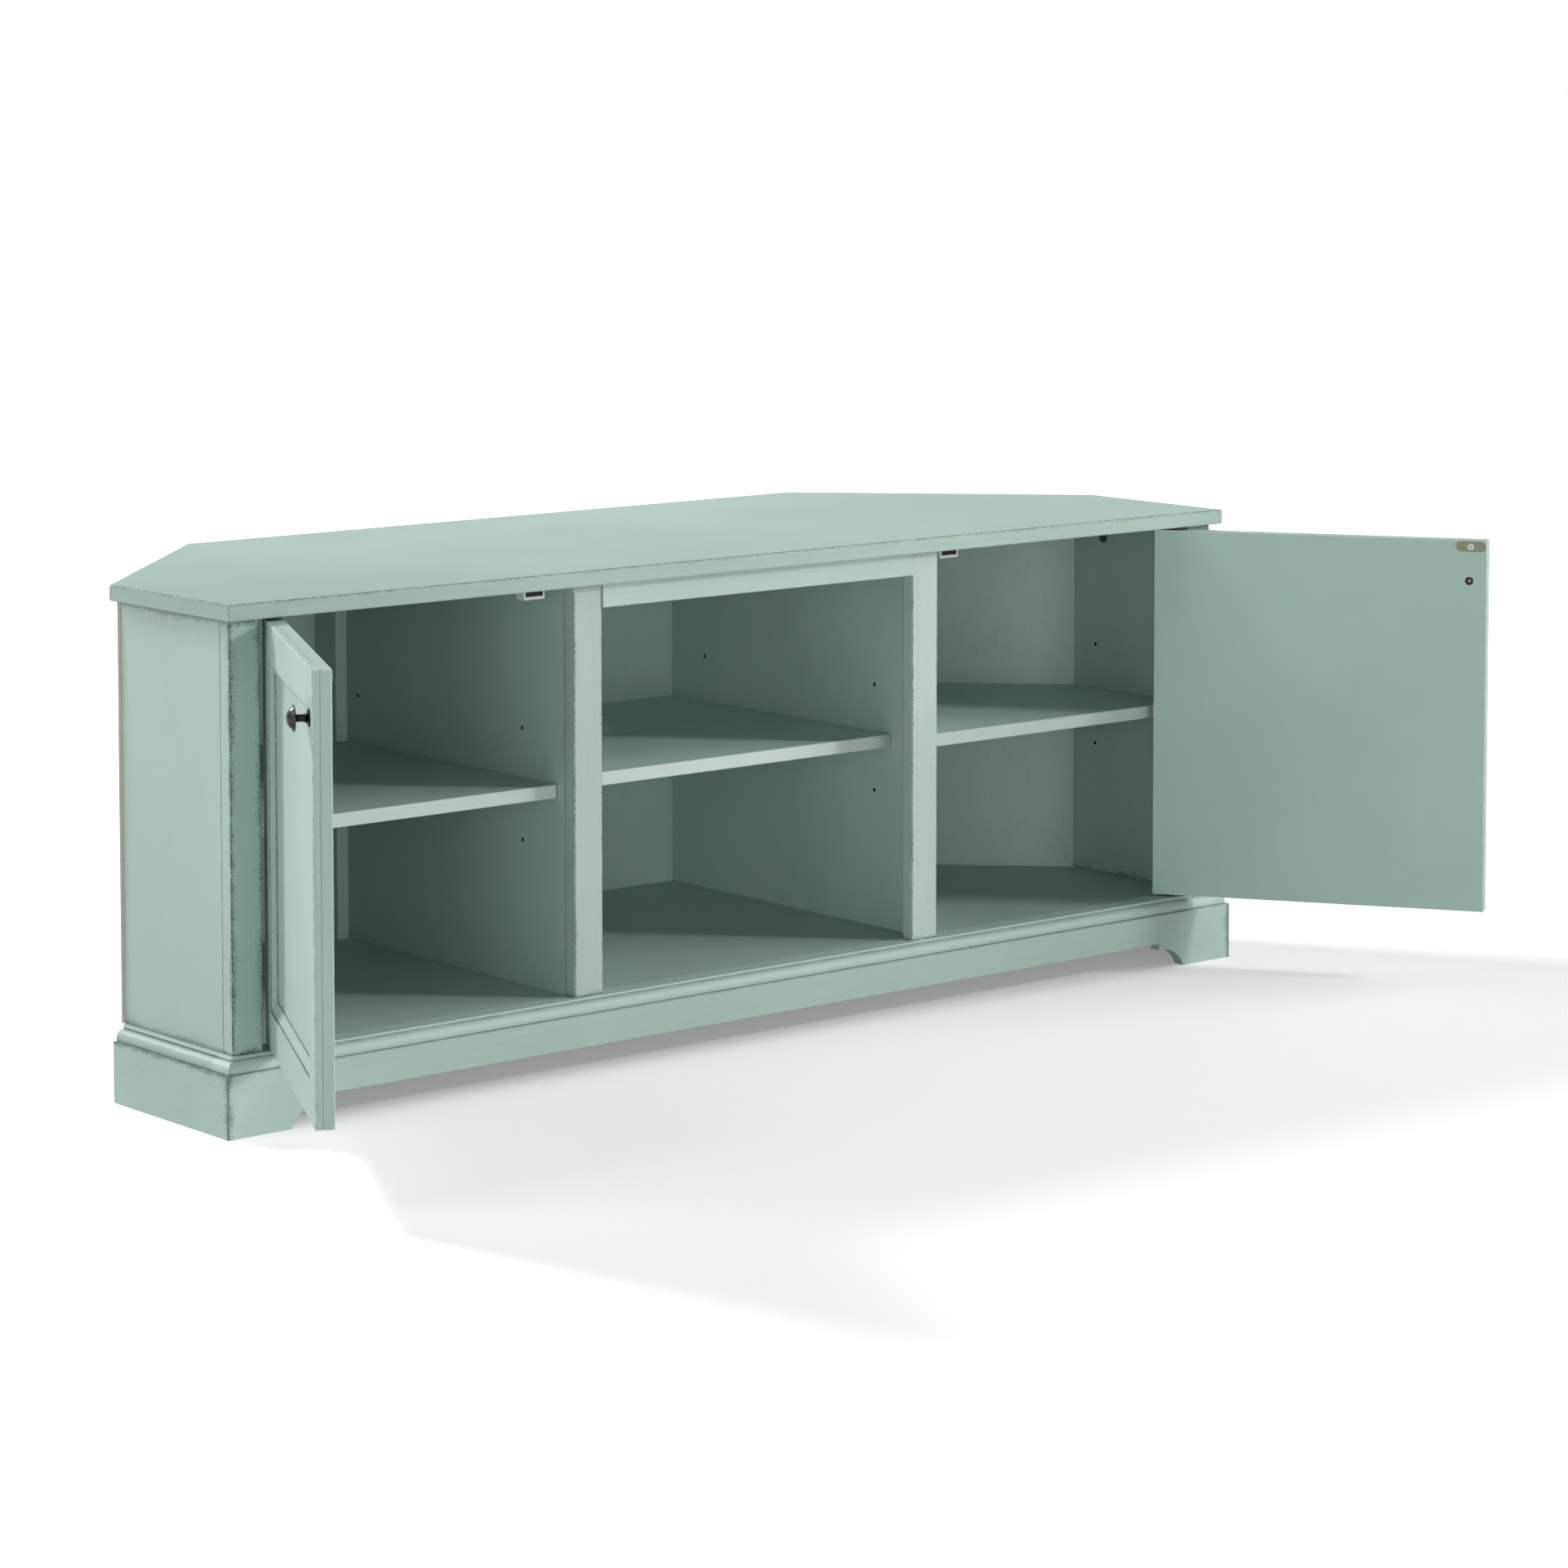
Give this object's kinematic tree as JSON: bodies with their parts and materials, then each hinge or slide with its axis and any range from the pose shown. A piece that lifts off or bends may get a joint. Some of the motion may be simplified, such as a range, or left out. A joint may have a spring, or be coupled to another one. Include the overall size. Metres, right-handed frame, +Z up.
{
  "type": "corner tv stand",
  "caption": "Low painted corner media cabinet with a six-sided top, middle open bay, two inset doors on pivot pins, adjustable shelves and a bracket-foot plinth.",
  "frame": {"origin": "on the floor, under the middle of the back plinth board", "axes": "+X along the front to the right seen from the front, +Y to the back, +Z up"},
  "size_m": [1.7671, 0.8466, 0.566],
  "materials": {
    "painted_top": "satin distressed paint with a thin dark glaze",
    "painted_body": "satin distressed paint with dark glaze in the corners",
    "painted_inside": "matt paint",
    "painted_door": "satin distressed paint with dark glaze in the mouldings",
    "back_board": "matt painted board with raw tan edges",
    "raw_wood": "raw softwood",
    "antique_bronze": "antique bronze, rubbed bright on the rims",
    "zinc_steel": "zinc plated",
    "brass_screw": "yellow passivated",
    "white_plastic": "moulded",
    "dark_plastic": "moulded",
    "magnet": "matt black"
  },
  "bodies": {
    "cabinet": {"top_panel": "painted_top", "bottom_panel": "painted_body", "left_side_panel": "painted_body", "right_side_panel": "painted_body", "left_divider": "painted_inside", "right_divider": "painted_inside", "left_stile": "painted_body", "right_stile": "painted_body", "left_mullion": "painted_body", "right_mullion": "painted_body", "middle_rail": "painted_body", "left_shelf": "painted_inside", "middle_shelf": "painted_inside", "right_shelf": "painted_inside", "shelf_supports": "zinc_steel", "middle_back_panel": "back_board", "left_back_panel": "back_board", "right_back_panel": "back_board", "left_cleat": "painted_inside", "right_cleat": "painted_inside", "front_plinth": "painted_body", "left_plinth": "painted_body", "right_plinth": "painted_body", "back_plinth": "painted_inside", "left_diagonal_plinth": "painted_inside", "right_diagonal_plinth": "painted_inside", "base_stretchers": "raw_wood", "corner_blocks": "raw_wood", "catch_housings": "white_plastic", "catch_magnets": "magnet", "catch_screws": "zinc_steel", "cam_locks": "zinc_steel", "cam_bolts": "zinc_steel", "dowels": "raw_wood", "pivot_sockets": "zinc_steel"},
    "left_door": {"left_door_slab": "painted_door", "left_door_stiles": "painted_door", "left_door_rails": "painted_door", "left_door_side_mouldings": "painted_door", "left_door_end_mouldings": "painted_door", "left_pivot_pins": "zinc_steel", "left_pivot_bushes": "dark_plastic", "left_knob": "antique_bronze", "left_knob_screw": "brass_screw", "left_strike_plate": "antique_bronze", "left_strike_screw": "white_plastic"},
    "right_door": {"right_door_slab": "painted_door", "right_door_stiles": "painted_door", "right_door_rails": "painted_door", "right_door_side_mouldings": "painted_door", "right_door_end_mouldings": "painted_door", "right_pivot_pins": "zinc_steel", "right_pivot_bushes": "dark_plastic", "right_knob": "antique_bronze", "right_knob_screw": "brass_screw", "right_strike_plate": "antique_bronze", "right_strike_screw": "white_plastic"}
  },
  "joints": [
    {"name": "left_door_hinge", "type": "hinge", "parent": "cabinet", "child": "left_door", "pos_m": [-0.6685, -0.4705, 0.084], "axis": [0, 0, -1], "range_deg": [-117, 8]},
    {"name": "right_door_hinge", "type": "hinge", "parent": "cabinet", "child": "right_door", "pos_m": [0.6685, -0.4705, 0.084], "axis": [0, 0, 1], "range_deg": [-123, 2]}
  ]
}
